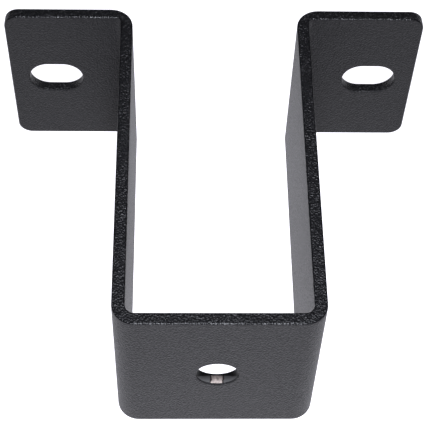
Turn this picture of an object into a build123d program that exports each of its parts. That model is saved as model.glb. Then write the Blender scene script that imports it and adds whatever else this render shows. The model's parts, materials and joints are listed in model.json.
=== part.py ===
from build123d import *
import os

# A saddle bracket folded from one length of flat steel bar. A web at the front crosses the saddle, two
# legs run back from it, and two flanges turn outwards at the back and lie flat against the wall or post.
#
# Frame: the origin is on the wall side of the flanges, midway between their two slots. +X runs along the
# flanges, +Y into the wall and +Z along the width of the bar.

# Flat bar, 50 x 3 mm stock with 0.1 mm of powder coat on every side
bar_width = 50.2
bar_thickness = 3.2

# Folds
inner_width = 44.3  # clear width between the legs
inner_depth = 94.8  # from the web's inner face to the wall
flange_span = 114.4  # over the tips of both flanges
web_bend_inner_radius = 2.3
web_bend_outer_radius = web_bend_inner_radius + bar_thickness
flange_bend_inner_radius = 1.2  # folded over a sharp tool, which thins the bar a little at the fold
flange_bend_outer_radius = 6.0

# Cut features
flange_corner_radius = 4.0
slot_spacing = 89.0
slot_length = 15.0
slot_width = 11.0
web_hole_diameter = 10.5
edge_radius = 0.4  # sheared edges, softened before coating

# Derived places
half_outer = inner_width / 2 + bar_thickness
half_inner = inner_width / 2
half_span = flange_span / 2
wall = 0.0
flange_front = wall - bar_thickness
web_back = wall - inner_depth
web_front = web_back - bar_thickness
inside_tips = half_span - bar_thickness
cut_depth = 2 * bar_thickness  # runs past both faces of the bar


def section_corners(x, y):
    """The two corners of the folded section at +x and -x."""
    corners = section.vertices()
    return [c for c in corners if abs(abs(c.X) - x) < 1e-6 and abs(c.Y - y) < 1e-6]


def cut_rims():
    """The edges that the latest cut left on the front and the back of the bar."""
    return strap.edges(Select.LAST).filter_by(Axis.Y, reverse=True)


with BuildPart() as strap:
    # The section seen along the bar's width, drawn with sharp folds on the +X side and mirrored
    with BuildSketch(Plane.XY.offset(-bar_width / 2)) as section:
        with BuildLine():
            Polyline(
                (0, web_front),
                (half_outer, web_front),
                (half_outer, flange_front),
                (half_span, flange_front),
                (half_span, wall),
                (half_inner, wall),
                (half_inner, web_back),
                (0, web_back),
            )
            mirror(about=Plane.YZ)
        make_face()
        fillet(section_corners(half_outer, web_front), radius=web_bend_outer_radius)
        fillet(section_corners(half_inner, web_back), radius=web_bend_inner_radius)
        fillet(section_corners(half_outer, flange_front), radius=flange_bend_inner_radius)
        fillet(section_corners(half_inner, wall), radius=flange_bend_outer_radius)
    extrude(amount=bar_width)

    # Rounded corners at the flange tips
    tip_edges = strap.edges().filter_by(Axis.Y).group_by(Axis.X)
    fillet(tip_edges[0] + tip_edges[-1], radius=flange_corner_radius)

    # The sheared rim is softened all round. Its edges are all that is left after the fold lines, which run
    # along Z inside the tips, and the short lines across the bar's thickness at the rounded corners.
    rim = strap.edges().filter_by(Axis.Y, reverse=True)
    fold_lines = rim.filter_by(Axis.Z).filter_by_position(Axis.X, -inside_tips, inside_tips)
    fillet(rim - fold_lines, radius=edge_radius)

    # One slot in each flange, lengthways along the flange
    with BuildSketch(Plane.XZ):
        with GridLocations(slot_spacing, 0, 2, 1):
            SlotOverall(slot_length, slot_width)
    extrude(amount=cut_depth, both=True, mode=Mode.SUBTRACT)
    fillet(cut_rims(), radius=edge_radius)

    # Bolt hole in the middle of the web
    with Locations(Plane((0, web_front, 0), z_dir=(0, -1, 0))):
        Hole(radius=web_hole_diameter / 2, depth=cut_depth)
    fillet(cut_rims(), radius=edge_radius)

strap.part.label = "strap"

os.makedirs("parts", exist_ok=True)
export_step(strap.part, "parts/strap.step")
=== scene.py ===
import json
from math import atan2, ceil, copysign, cos, pi, radians, sin

import bmesh
import bpy
from mathutils import Matrix, Vector


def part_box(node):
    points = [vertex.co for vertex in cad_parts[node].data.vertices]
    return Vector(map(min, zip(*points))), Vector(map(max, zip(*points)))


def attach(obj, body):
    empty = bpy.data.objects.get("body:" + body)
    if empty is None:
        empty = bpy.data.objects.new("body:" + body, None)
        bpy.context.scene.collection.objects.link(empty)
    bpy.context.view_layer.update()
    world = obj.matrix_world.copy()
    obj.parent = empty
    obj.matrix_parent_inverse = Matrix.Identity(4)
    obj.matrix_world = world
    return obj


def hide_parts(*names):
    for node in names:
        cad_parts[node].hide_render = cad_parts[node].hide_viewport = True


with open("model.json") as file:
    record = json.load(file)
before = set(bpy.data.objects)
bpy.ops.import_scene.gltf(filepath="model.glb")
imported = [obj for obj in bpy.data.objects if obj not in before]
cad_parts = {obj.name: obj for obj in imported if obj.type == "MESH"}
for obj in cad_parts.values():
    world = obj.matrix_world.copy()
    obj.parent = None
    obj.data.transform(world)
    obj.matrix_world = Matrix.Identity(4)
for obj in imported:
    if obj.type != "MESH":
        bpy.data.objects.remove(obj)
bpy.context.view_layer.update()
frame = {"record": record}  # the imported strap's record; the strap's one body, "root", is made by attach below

MM = 0.001
QUARTER = pi / 2

# ---------------------------------------------------------------- sizes, in metres
mounts = {mount["name"]: mount for mount in frame["record"]["mounts"]}
low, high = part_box("strap")
centre = (low + high) / 2

THICKNESS = 3.2 * MM
WEB_FOLD_INNER = 2.3 * MM
WEB_FOLD_OUTER = WEB_FOLD_INNER + THICKNESS
FLANGE_FOLD_INNER = 1.2 * MM
FLANGE_FOLD_OUTER = 6.0 * MM
CORNER_RADIUS = 4.0 * MM
EDGE_RADIUS = 0.4 * MM
CUT_LEAN = 0.1 * MM  # how far the sheared edge falls back from front to back

HALF_WIDTH = high.z
HALF_SPAN = high.x
HALF_INNER = mounts["saddle_right"]["pos_m"][0]
HALF_OUTER = HALF_INNER + THICKNESS
WEB_FRONT = low.y
WALL = high.y

slots = mounts["wall_slots"]["dims"]
SLOT_CENTRE = slots["spacing_x_mm"] / 2 * MM
SLOT_RADIUS = slots["hole_r_mm"] * MM
SLOT_HALF_STRAIGHT = slots["slot_length_mm"] / 2 * MM - SLOT_RADIUS
HOLE_RADIUS = mounts["web_hole"]["dims"]["r_mm"] * MM

# Where each stretch of the bar ends, measured along the bar from the middle of the web
WEB_END = HALF_OUTER - WEB_FOLD_OUTER
WEB_FOLD_END = WEB_END + QUARTER * (WEB_FOLD_INNER + THICKNESS / 2)
LEG_END = WEB_FOLD_END + (WALL - FLANGE_FOLD_OUTER) - (WEB_FRONT + WEB_FOLD_OUTER)
FLANGE_FOLD_END = LEG_END + QUARTER * (FLANGE_FOLD_INNER + FLANGE_FOLD_OUTER) / 2
FLANGE_START_X = HALF_INNER + FLANGE_FOLD_OUTER
TIP = FLANGE_FOLD_END + HALF_SPAN - FLANGE_START_X

# Mesh density
FACE_STEP = 1.2 * MM
FOLD_STEPS = 14
CORNER_STEPS = 10
EDGE_STEPS = 4
WALL_STEPS = 3
RING_STOPS = (0, 0.03, 0.09, 0.18, 0.29, 0.41, 0.53, 0.65, 0.76, 0.86, 0.94, 0.98, 1)  # from loop to opening
SEWING_GAP = 0.001 * MM


# ---------------------------------------------------------------- the folded section
def lean_fold(share):
    """Front side of a flange fold: a short flat, the tight inner arc and a short flat. share runs from 0 at
    the leg to 1 at the flange."""
    flat = FLANGE_FOLD_OUTER - THICKNESS - FLANGE_FOLD_INNER
    arc = QUARTER * FLANGE_FOLD_INNER
    way = share * (2 * flat + arc)
    corner_x = HALF_OUTER + FLANGE_FOLD_INNER
    corner_y = WALL - THICKNESS - FLANGE_FOLD_INNER
    if way <= flat:
        return HALF_OUTER, corner_y - flat + way
    if way >= flat + arc:
        return corner_x + way - flat - arc, WALL - THICKNESS
    turn = (way - flat) / FLANGE_FOLD_INNER
    return corner_x - FLANGE_FOLD_INNER * cos(turn), corner_y + FLANGE_FOLD_INNER * sin(turn)


def wide_fold(share):
    """Back side of a flange fold: one wide arc from the leg to the wall."""
    turn = share * QUARTER
    x = FLANGE_START_X - FLANGE_FOLD_OUTER * cos(turn)
    return x, WALL - FLANGE_FOLD_OUTER * (1 - sin(turn))


def folded(u, v, depth):
    """Where a point of the flat bar lies once it is folded. u is along the bar from the middle of the web, v
    is across its width, and depth runs from 0 on the front side to 1 on the back."""
    along = abs(u)
    inward = depth * THICKNESS
    if along <= WEB_END:
        x, y = along, WEB_FRONT + inward
    elif along <= WEB_FOLD_END:
        turn = QUARTER * (along - WEB_END) / (WEB_FOLD_END - WEB_END)
        radius = WEB_FOLD_OUTER - inward
        x, y = WEB_END + radius * sin(turn), WEB_FRONT + WEB_FOLD_OUTER - radius * cos(turn)
    elif along <= LEG_END:
        x, y = HALF_OUTER - inward, WEB_FRONT + WEB_FOLD_OUTER + along - WEB_FOLD_END
    elif along <= FLANGE_FOLD_END:
        share = (along - LEG_END) / (FLANGE_FOLD_END - LEG_END)
        front, back = Vector(lean_fold(share)), Vector(wide_fold(share))
        x, y = front.lerp(back, depth)
    else:
        x, y = FLANGE_START_X + along - FLANGE_FOLD_END, WALL - THICKNESS + inward
    return copysign(x, u), y, v


# ---------------------------------------------------------------- the flat bar's outline and faces
def stops(start, end, count=None):
    """Evenly spaced values from start to end, both included."""
    count = count or ceil(abs(end - start) / FACE_STEP)
    return [start + (end - start) * i / count for i in range(count + 1)]


FACE_TOP = HALF_WIDTH - EDGE_RADIUS  # where the flat faces end and the rounded edges start
FACE_TIP = TIP - EDGE_RADIUS
CORNER_U = TIP - CORNER_RADIUS
CORNER_V = HALF_WIDTH - CORNER_RADIUS

ACROSS = stops(-FACE_TOP, FACE_TOP)
WEB_STOPS = stops(-WEB_END, WEB_END)
PLAIN_STOPS = (
    stops(WEB_END, WEB_FOLD_END, FOLD_STEPS)
    + stops(WEB_FOLD_END, LEG_END)[1:]
    + stops(LEG_END, FLANGE_FOLD_END, FOLD_STEPS)[1:]
)
FLANGE_STOPS = stops(FLANGE_FOLD_END, CORNER_U)


def half_turn(point):
    """The matching point on the other half of the bar, half a turn round its middle."""
    return tuple(-value for value in point)


def long_edge(along, side):
    """Outline points (u, v, normal u, normal v) on the upper edge, side 1, or on the lower one, side -1."""
    return [(u, side * FACE_TOP, 0, side) for u in along]


def tip_corner(side):
    """One rounded corner of the right-hand flange, the upper or the lower one, anticlockwise."""
    radius = CORNER_RADIUS - EDGE_RADIUS
    points = []
    for turn in stops(min(side, 0) * QUARTER, max(side, 0) * QUARTER, CORNER_STEPS):
        normal = cos(turn), sin(turn)
        points.append((CORNER_U + radius * normal[0], side * CORNER_V + radius * normal[1], *normal))
    return points


def right_end():
    """The outline round the right-hand flange, from its lower edge to its upper one."""
    lower = long_edge(FLANGE_STOPS[:-1], -1)
    upper = long_edge(FLANGE_STOPS[-2::-1], 1)
    tip = [(FACE_TIP, v, 1, 0) for v in stops(-CORNER_V, CORNER_V)[1:-1]]
    return lower + tip_corner(-1) + tip + tip_corner(1) + upper


def outline():
    """The whole outline of the flat bar as a closed loop of (u, v, normal u, normal v)."""
    plain = PLAIN_STOPS[:-1]
    lower = long_edge(WEB_STOPS[1:-1] + plain, -1)
    upper = long_edge(plain[::-1] + WEB_STOPS[-2:0:-1], 1)
    right = lower + right_end() + upper
    left = long_edge(plain, -1) + right_end() + long_edge(plain[::-1], 1)
    return right + [half_turn(point) for point in left]


def opening_point(middle, half_straight, radius, toward):
    """The point of a slot's or hole's rim on the way from its middle to another point, with the normal into
    the opening."""
    turn = atan2(toward[1], toward[0] - middle)
    c, s = cos(turn), sin(turn)
    if half_straight and abs(c) * radius <= half_straight * abs(s):
        return middle + radius * c / abs(s), copysign(radius, s), 0.0, -copysign(1.0, s)
    end = copysign(half_straight, c)
    reach = end * c + (radius**2 - (end * s) ** 2) ** 0.5
    u, v = reach * c, reach * s
    return middle + u, v, -(u - end) / radius, -v / radius


def strip_faces(one, two, closed):
    """Quads between two rows of points."""
    last = len(one) if closed else len(one) - 1
    return [(one[i], one[(i + 1) % len(one)], two[(i + 1) % len(two)], two[i]) for i in range(last)]


def ring_faces(outer, inner):
    """Quads between two matched closed loops, as flat (u, v) corners."""
    rings = []
    for t in RING_STOPS:
        rings.append([(a[0] + (b[0] - a[0]) * t, a[1] + (b[1] - a[1]) * t) for a, b in zip(outer, inner)])
    return [quad for one, two in zip(rings, rings[1:]) for quad in strip_faces(one, two, True)]


web_loop = (
    [(u, -FACE_TOP) for u in WEB_STOPS[:-1]]
    + [(WEB_END, v) for v in ACROSS[:-1]]
    + [(u, FACE_TOP) for u in WEB_STOPS[:0:-1]]
    + [(-WEB_END, v) for v in ACROSS[:0:-1]]
)
flange_loop = [point[:2] for point in right_end()] + [(FLANGE_FOLD_END, v) for v in ACROSS[-1:0:-1]]
SLOT_U = FLANGE_FOLD_END + SLOT_CENTRE - FLANGE_START_X
hole_rim = [opening_point(0, 0, HOLE_RADIUS + EDGE_RADIUS, p) for p in web_loop]
slot_rim = [opening_point(SLOT_U, SLOT_HALF_STRAIGHT, SLOT_RADIUS + EDGE_RADIUS, p) for p in flange_loop]
left_slot_rim = [half_turn(point) for point in slot_rim]


def blank_faces():
    """Every face of one side of the flat bar."""
    rows = [[(u, v) for v in ACROSS] for u in PLAIN_STOPS]
    half = [quad for one, two in zip(rows, rows[1:]) for quad in strip_faces(one, two, False)]
    half += ring_faces(flange_loop, slot_rim)
    other_half = [tuple(half_turn(corner) for corner in quad) for quad in half]
    return ring_faces(web_loop, hole_rim) + half + other_half


def edge_profile():
    """The sheared edge from the front face to the back one, as (reach beyond the face's edge, depth, how
    rounded, how far onto the cut). The cut leans back, so it stands proud only along the front."""
    front = []
    for turn in stops(0, QUARTER, EDGE_STEPS):
        depth = EDGE_RADIUS * (1 - cos(turn)) / THICKNESS
        front.append((EDGE_RADIUS * sin(turn), depth, sin(2 * turn), sin(turn)))
    lean = 1 - CUT_LEAN / EDGE_RADIUS
    back = [(reach * lean, 1 - depth, rounded, cut) for reach, depth, rounded, cut in front[::-1]]
    start, end = Vector(front[-1]), Vector(back[0])
    wall = [tuple(start.lerp(end, i / WALL_STEPS)) for i in range(1, WALL_STEPS)]
    return front + wall + back


def strap_faces():
    """Every face of the strap, as four (u, v, depth, how rounded, how far onto the cut) and whether it is in
    the hole's straight wall. Only the blank's own edge flows out smooth, not the openings' edges."""
    for depth in (0, 1):
        for quad in blank_faces():
            yield [(u, v, depth, 0, 0) for u, v in quad], False
    profile = edge_profile()
    for rim, flow in ((outline(), 1), (slot_rim, 0), (left_slot_rim, 0), (hole_rim, 0)):
        rows = [
            [(u + nu * reach, v + nv * reach, depth, how_round * flow, how_cut) for u, v, nu, nv in rim]
            for reach, depth, how_round, how_cut in profile
        ]
        for index, (one, two) in enumerate(zip(rows, rows[1:])):
            on_wall = rim is hole_rim and EDGE_STEPS <= index < EDGE_STEPS + WALL_STEPS
            for quad in strip_faces(one, two, True):
                yield quad, on_wall


def build_strap():
    """The folded strap as one closed mesh. The hole's wall takes the second material. The attribute
    "rounded" is highest half way round the blank's softened edge, and "cut" is 1 all over the cut edges."""
    corners, rounded, cut, on_wall = [], [], [], []
    for quad, is_wall in strap_faces():
        on_wall.append(int(is_wall))
        for u, v, depth, how_round, how_cut in quad:
            corners.append(folded(u, v, depth))
            rounded.append(how_round)
            cut.append(how_cut)
    faces = [range(first, first + 4) for first in range(0, len(corners), 4)]

    mesh = bpy.data.meshes.new("strap_coated")
    mesh.from_pydata(corners, [], faces)
    mesh.attributes.new("rounded", "FLOAT", "POINT").data.foreach_set("value", rounded)
    mesh.attributes.new("cut", "FLOAT", "POINT").data.foreach_set("value", cut)
    mesh.polygons.foreach_set("material_index", on_wall)
    mesh.polygons.foreach_set("use_smooth", [True] * len(faces))
    sewn = bmesh.new()
    sewn.from_mesh(mesh)
    bmesh.ops.remove_doubles(sewn, verts=sewn.verts, dist=SEWING_GAP)
    bmesh.ops.recalc_face_normals(sewn, faces=sewn.faces)
    sewn.to_mesh(mesh)
    sewn.free()
    strap = bpy.data.objects.new("strap_coated", mesh)
    bpy.context.scene.collection.objects.link(strap)
    return strap


# ---------------------------------------------------------------- node graphs
NOISE_LOW = 0.3  # most of a noise texture's values lie between these
NOISE_HIGH = 0.7
OFF_LATTICE = (0.6, 0.4, 0.9)  # a turn, in radians, that keeps flat faces off the noise's lattice


class Graph:
    """The node graph of a material or the world, with a short way to add each kind of node. A value passed
    in is either another node's output or a plain value."""

    def __init__(self, owner):
        owner.use_nodes = True
        self.nodes = owner.node_tree.nodes
        self.links = owner.node_tree.links

    def feed(self, socket, value):
        if isinstance(value, bpy.types.NodeSocket):
            self.links.new(value, socket)
        else:
            socket.default_value = value

    def calc(self, operation, *values):
        made = self.nodes.new("ShaderNodeMath")
        made.operation = operation
        for socket, value in zip(made.inputs, values):
            self.feed(socket, value)
        return made.outputs["Value"]

    def mapped(self, value, start, end, low_value, high_value, shape="LINEAR"):
        """The range start to end stretched onto low_value to high_value, and held there beyond it."""
        made = self.nodes.new("ShaderNodeMapRange")
        made.interpolation_type = shape
        self.feed(made.inputs["Value"], value)
        self.feed(made.inputs["From Min"], start)
        self.feed(made.inputs["From Max"], end)
        self.feed(made.inputs["To Min"], low_value)
        self.feed(made.inputs["To Max"], high_value)
        return made.outputs["Result"]

    def spread(self, noise, low_value, high_value):
        return self.mapped(noise, NOISE_LOW, NOISE_HIGH, low_value, high_value)

    def ramp(self, factor, low_stop, high_stop):
        """A colour ramp between two (position, colour) stops."""
        made = self.nodes.new("ShaderNodeValToRGB")
        for element, (position, colour) in zip(made.color_ramp.elements, (low_stop, high_stop)):
            element.position = position
            element.color = (*colour, 1)
        self.feed(made.inputs["Fac"], factor)
        return made.outputs["Color"]

    def blend(self, noise, low_colour, high_colour):
        return self.ramp(noise, (NOISE_LOW, low_colour), (NOISE_HIGH, high_colour))

    def over(self, base, colour, mask):
        """One plain colour laid over another colour where the mask is 1."""
        made = self.nodes.new("ShaderNodeMix")
        made.data_type = "RGBA"
        factor, under, top = made.inputs["Factor"], made.inputs[6], made.inputs[7]
        self.feed(factor, mask)
        self.feed(under, base)
        self.feed(top, (*colour, 1))
        return made.outputs[2]

    def coordinates(self, kind):
        return self.nodes.new("ShaderNodeTexCoord").outputs[kind]

    def split(self, vector):
        made = self.nodes.new("ShaderNodeSeparateXYZ")
        self.feed(made.inputs["Vector"], vector)
        return made.outputs["X"], made.outputs["Y"], made.outputs["Z"]

    def attribute(self, name):
        made = self.nodes.new("ShaderNodeAttribute")
        made.attribute_name = name
        return made.outputs["Fac"]

    def millimetres(self):
        """The object's own coordinates in millimetres, turned off the noise's lattice."""
        made = self.nodes.new("ShaderNodeMapping")
        self.feed(made.inputs["Rotation"], OFF_LATTICE)
        self.feed(made.inputs["Scale"], (1 / MM, 1 / MM, 1 / MM))
        self.feed(made.inputs["Vector"], self.coordinates("Object"))
        return made.outputs["Vector"]

    def noise(self, place, per_mm, detail, rough=0.5):
        made = self.nodes.new("ShaderNodeTexNoise")
        self.feed(made.inputs["Scale"], per_mm)
        self.feed(made.inputs["Detail"], detail)
        self.feed(made.inputs["Roughness"], rough)
        self.feed(made.inputs["Vector"], place)
        return made.outputs["Fac"]

    def bump(self, height, distance, strength, under=None):
        made = self.nodes.new("ShaderNodeBump")
        self.feed(made.inputs["Distance"], distance)
        self.feed(made.inputs["Strength"], strength)
        self.feed(made.inputs["Height"], height)
        if under is not None:
            self.feed(made.inputs["Normal"], under)
        return made.outputs["Normal"]


def new_material(name):
    material = bpy.data.materials.new(name)
    graph = Graph(material)
    return material, graph, graph.nodes["Principled BSDF"].inputs


# ---------------------------------------------------------------- materials
COAT_DARK = (0.002, 0.002, 0.0023)
COAT_LIGHT = (0.005, 0.005, 0.0056)
COAT_IOR = 1.28
COAT_ROUGH_LOW = 0.58  # roughness in the hollows of the grain, and on its tops
COAT_ROUGH_HIGH = 0.48

GRAIN_PER_MM = 2.4
GRAIN_DETAIL = 0.0
GRAIN_HEIGHT = 0.36 * MM
FACE_GRAIN = 0.6  # strength of the grain on the rolled faces, against 1 on the cut edges
FLOW_PER_MM = 0.25
FLOW_DETAIL = 1.0
FLOW_HEIGHT = 0.1 * MM
FLOW_STRENGTH = 0.3

CUT_GLOSS = 0.13  # how much less rough the coat is on the cut edges
EDGE_GLOSS = 0.22  # and round the softened edge
EDGE_SMOOTHING = 0.65  # how much of the grain is gone there


def powder_coat():
    """Black powder coat with a fine sandy grain, which flows out smoother and glossier over the edges."""
    material, graph, shader = new_material("powder_coat")
    place = graph.millimetres()
    grain = graph.noise(place, GRAIN_PER_MM, GRAIN_DETAIL)
    flow = graph.noise(place, FLOW_PER_MM, FLOW_DETAIL)
    rounded = graph.attribute("rounded")
    cut = graph.attribute("cut")

    graph.feed(shader["IOR"], COAT_IOR)
    graph.feed(shader["Base Color"], graph.blend(grain, COAT_DARK, COAT_LIGHT))

    rough = graph.spread(grain, COAT_ROUGH_LOW, COAT_ROUGH_HIGH)
    gloss = graph.calc("MULTIPLY_ADD", rounded, EDGE_GLOSS, graph.calc("MULTIPLY", cut, CUT_GLOSS))
    graph.feed(shader["Roughness"], graph.calc("SUBTRACT", rough, gloss))

    on_cut = graph.calc("MULTIPLY_ADD", cut, 1 - FACE_GRAIN, FACE_GRAIN)
    off_edge = graph.calc("MULTIPLY_ADD", rounded, -EDGE_SMOOTHING, 1)
    strength = graph.calc("MULTIPLY", on_cut, off_edge)
    waves = graph.bump(flow, FLOW_HEIGHT, FLOW_STRENGTH)
    graph.feed(shader["Normal"], graph.bump(grain, GRAIN_HEIGHT, strength, waves))
    return material


STEEL_DARK = (0.2, 0.17, 0.155)
STEEL_LIGHT = (0.5, 0.43, 0.39)
STEEL_METALLIC = 0.4
STEEL_ROUGH_LOW = 0.5
STEEL_ROUGH_HIGH = 0.36
# dull grey painted up the sides of the hole's wall as their dimmer reflection
PAINTED_DIM_REFLECTION = (0.06, 0.06, 0.06)
LINE_COLOUR = (0.01, 0.005, 0.004)
LINE_DULLNESS = 0.5
# extra roughness where the rim's shadow is painted in coat colour
PAINTED_SHADOW_DULLNESS = 0.12

STREAKS_PER_MM = 1.3
STREAK_DETAIL = 3.0
STREAK_HEIGHT = 0.05 * MM
STREAK_STRENGTH = 0.5
WOBBLE = 0.8 * MM

# half width of the strip of bright bare steel painted along the bottom of the hole's wall as the lamp's
# highlight
HIGHLIGHT_HALF_WIDTH = 1.35 * MM
LINE_WIDTH = 0.45 * MM
LINE_BLUR = 0.1 * MM
DIM_REFLECTION_BLUR = 0.15 * MM
PAINTED_SHADOW_START = 2.5 * MM  # how deep into the hole the painted shadow of the rim starts, at its lowest point
PAINTED_SHADOW_RISE = 0.58  # how much nearer to the front the painted shadow starts for each unit of height
PAINTED_SHADOW_BLUR = 0.25 * MM


def hole_wall():
    """The wall of the web's hole. Coat colour is painted at the back and up the sides as the rim's shadow,
    the lower front is a dull grey painted as its dimmer reflection, and a strip along the very bottom is
    bright bare steel painted as the lamp's highlight, between two dark lines."""
    material, graph, shader = new_material("bare_steel")
    streaks = graph.noise(graph.millimetres(), STREAKS_PER_MM, STREAK_DETAIL)
    x, y, z = graph.split(graph.coordinates("Object"))
    wobble = graph.calc("MULTIPLY_ADD", streaks, WOBBLE, -WOBBLE / 2)
    across = graph.calc("ABSOLUTE", graph.calc("ADD", x, wobble))
    height = graph.calc("ADD", z, HOLE_RADIUS)
    depth = graph.calc("SUBTRACT", y, WEB_FRONT)
    backward = graph.calc("MULTIPLY_ADD", height, PAINTED_SHADOW_RISE, depth)

    def past(value, limit, blur):
        return graph.mapped(value, limit - blur / 2, limit + blur / 2, 0, 1)

    past_highlight = past(across, HIGHLIGHT_HALF_WIDTH, LINE_BLUR)
    past_line = past(across, HIGHLIGHT_HALF_WIDTH + LINE_WIDTH, DIM_REFLECTION_BLUR)
    # painted shadow of the rim: the coat's dark colour is painted over the back of the wall and up its sides
    painted_shadow = past(backward, PAINTED_SHADOW_START, PAINTED_SHADOW_BLUR)

    colour = graph.blend(streaks, STEEL_DARK, STEEL_LIGHT)
    # painted light and shade on the hole's wall: dark lines edging the painted highlight, dull grey sides as
    # painted dimmer reflection, and coat colour as the rim's painted shadow
    for layer, mask in ((LINE_COLOUR, past_highlight), (PAINTED_DIM_REFLECTION, past_line), (COAT_DARK, painted_shadow)):
        colour = graph.over(colour, layer, mask)
    graph.feed(shader["Base Color"], colour)

    # metallic only inside the painted highlight strip; the painted grey sides and painted shadow are not
    # metallic
    bare = graph.calc("SUBTRACT", 1, graph.calc("MAXIMUM", past_highlight, painted_shadow))
    graph.feed(shader["Metallic"], graph.calc("MULTIPLY", bare, STEEL_METALLIC))

    rough = graph.spread(streaks, STEEL_ROUGH_LOW, STEEL_ROUGH_HIGH)
    in_line = graph.calc("SUBTRACT", past_highlight, past_line)
    shadow_dullness = graph.calc("MULTIPLY", painted_shadow, PAINTED_SHADOW_DULLNESS)
    dullness = graph.calc("MULTIPLY_ADD", in_line, LINE_DULLNESS, shadow_dullness)
    graph.feed(shader["Roughness"], graph.calc("ADD", rough, dullness))
    graph.feed(shader["Normal"], graph.bump(streaks, STREAK_HEIGHT, STREAK_STRENGTH))
    return material


strap = build_strap()
strap.data.materials.append(powder_coat())
strap.data.materials.append(hole_wall())
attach(strap, "root")
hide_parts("strap")


# ---------------------------------------------------------------- floor, light and camera
# Places are measured from the middle of the bracket.
TABLE_HALF = 1.5
TABLE_COLOUR = (0.3, 0.3, 0.3)
TABLE_ROUGHNESS = 0.9
POOL_PLACE = Vector((0.0, -0.02, 0.0))
POOL_RADIUS = 0.14
POOL_FADE = 0.12
POOL_GLOW = 1.5  # in the middle, at the edge of the pool, and on the rest of the table
POOL_EDGE_GLOW = 1.06
TABLE_GLOW = 0.5
GLOW_COLOUR = (0.99, 0.975, 1.05)

LAMP_COLOUR = (0.94, 0.96, 1.06)
LAMP_SIZE = 0.05
KEY_POWER = 1.8
KEY_PLACE = Vector((0.0, -0.09, 0.33))
FRONT_POWER = 1.5
FRONT_PLACE = Vector((0.0, -0.30, 0.205))

SKY_LOW = (0.04, (0.5, 0.5, 0.5))  # (height, colour)
SKY_HIGH = (0.1, (0.003, 0.004, 0.006))
FRONT_SKY = 0.15  # how much of the sky's light is left towards the front
FRONT_SKY_START = -0.6
FRONT_SKY_END = -0.1


def pool_of_light(graph):
    """How strongly the table glows: white under and round the bracket, and pale grey further out."""
    shift = graph.nodes.new("ShaderNodeVectorMath")
    shift.operation = "SUBTRACT"
    graph.feed(shift.inputs[0], graph.coordinates("Object"))
    graph.feed(shift.inputs[1], centre + POOL_PLACE)
    length = graph.nodes.new("ShaderNodeVectorMath")
    length.operation = "LENGTH"
    graph.feed(length.inputs[0], shift.outputs["Vector"])
    away = length.outputs["Value"]
    pool = graph.mapped(away, 0, POOL_RADIUS, POOL_GLOW, POOL_EDGE_GLOW)
    fade = graph.mapped(away, POOL_RADIUS, POOL_RADIUS + POOL_FADE, 1, TABLE_GLOW, "SMOOTHSTEP")
    return graph.calc("MULTIPLY", pool, fade)


def build_floor():
    """A plain pale table top, level with the bracket's lower edge, that glows as a painted pool of light
    round the bracket.
    """
    mesh = bpy.data.meshes.new("floor")
    corners = [(x * TABLE_HALF, y * TABLE_HALF, low.z) for x, y in ((-1, -1), (1, -1), (1, 1), (-1, 1))]
    mesh.from_pydata(corners, [], [(0, 1, 2, 3)])
    floor = bpy.data.objects.new("floor", mesh)
    bpy.context.scene.collection.objects.link(floor)
    material, graph, shader = new_material("table")
    graph.feed(shader["Base Color"], (*TABLE_COLOUR, 1))
    graph.feed(shader["Roughness"], TABLE_ROUGHNESS)
    graph.feed(shader["Emission Color"], (*GLOW_COLOUR, 1))
    graph.feed(shader["Emission Strength"], pool_of_light(graph))
    mesh.materials.append(material)


def area_light(name, place, power):
    """A small square softbox that faces the bracket."""
    lamp = bpy.data.lights.new(name, "AREA")
    lamp.color = LAMP_COLOUR
    lamp.size = LAMP_SIZE
    lamp.energy = power
    light = bpy.data.objects.new(name, lamp)
    light.location = centre + place
    light.rotation_euler = (-place).to_track_quat("-Z", "Y").to_euler()
    bpy.context.scene.collection.objects.link(light)


def studio_world():
    """A pale band of wall round the horizon, dim behind the camera, under a dark ceiling."""
    world = bpy.data.worlds.new("studio")
    bpy.context.scene.world = world
    graph = Graph(world)
    background = graph.nodes["Background"].inputs
    _, toward_wall, height = graph.split(graph.coordinates("Generated"))
    graph.feed(background["Color"], graph.ramp(height, SKY_LOW, SKY_HIGH))
    share = graph.mapped(toward_wall, FRONT_SKY_START, FRONT_SKY_END, FRONT_SKY, 1)
    graph.feed(background["Strength"], share)


CAMERA_DISTANCE = 0.3582
CAMERA_AZIMUTH = radians(-2.798)
CAMERA_ELEVATION = radians(55.659)
CAMERA_ROLL = radians(2.492)
CAMERA_AIM = Vector((0.04, -0.96, -0.66)) * MM
CAMERA_LENS = 112.54
CAMERA_SENSOR = 36
CAMERA_CLIP = 0.01


def build_camera():
    """A long lens looking down at the web from the front."""
    data = bpy.data.cameras.new("camera")
    data.lens = CAMERA_LENS
    data.sensor_width = CAMERA_SENSOR
    data.clip_start = CAMERA_CLIP
    camera = bpy.data.objects.new("camera", data)
    level = cos(CAMERA_ELEVATION)
    back = Vector((sin(CAMERA_AZIMUTH) * level, -cos(CAMERA_AZIMUTH) * level, sin(CAMERA_ELEVATION)))
    turn = back.to_track_quat("Z", "Y").to_matrix() @ Matrix.Rotation(CAMERA_ROLL, 3, "Z")
    camera.matrix_world = Matrix.Translation(centre + CAMERA_AIM + back * CAMERA_DISTANCE) @ turn.to_4x4()
    bpy.context.scene.collection.objects.link(camera)
    bpy.context.scene.camera = camera


build_floor()
area_light("key", KEY_PLACE, KEY_POWER)
area_light("front", FRONT_PLACE, FRONT_POWER)
studio_world()
build_camera()
bpy.context.scene.view_settings.view_transform = "Standard"
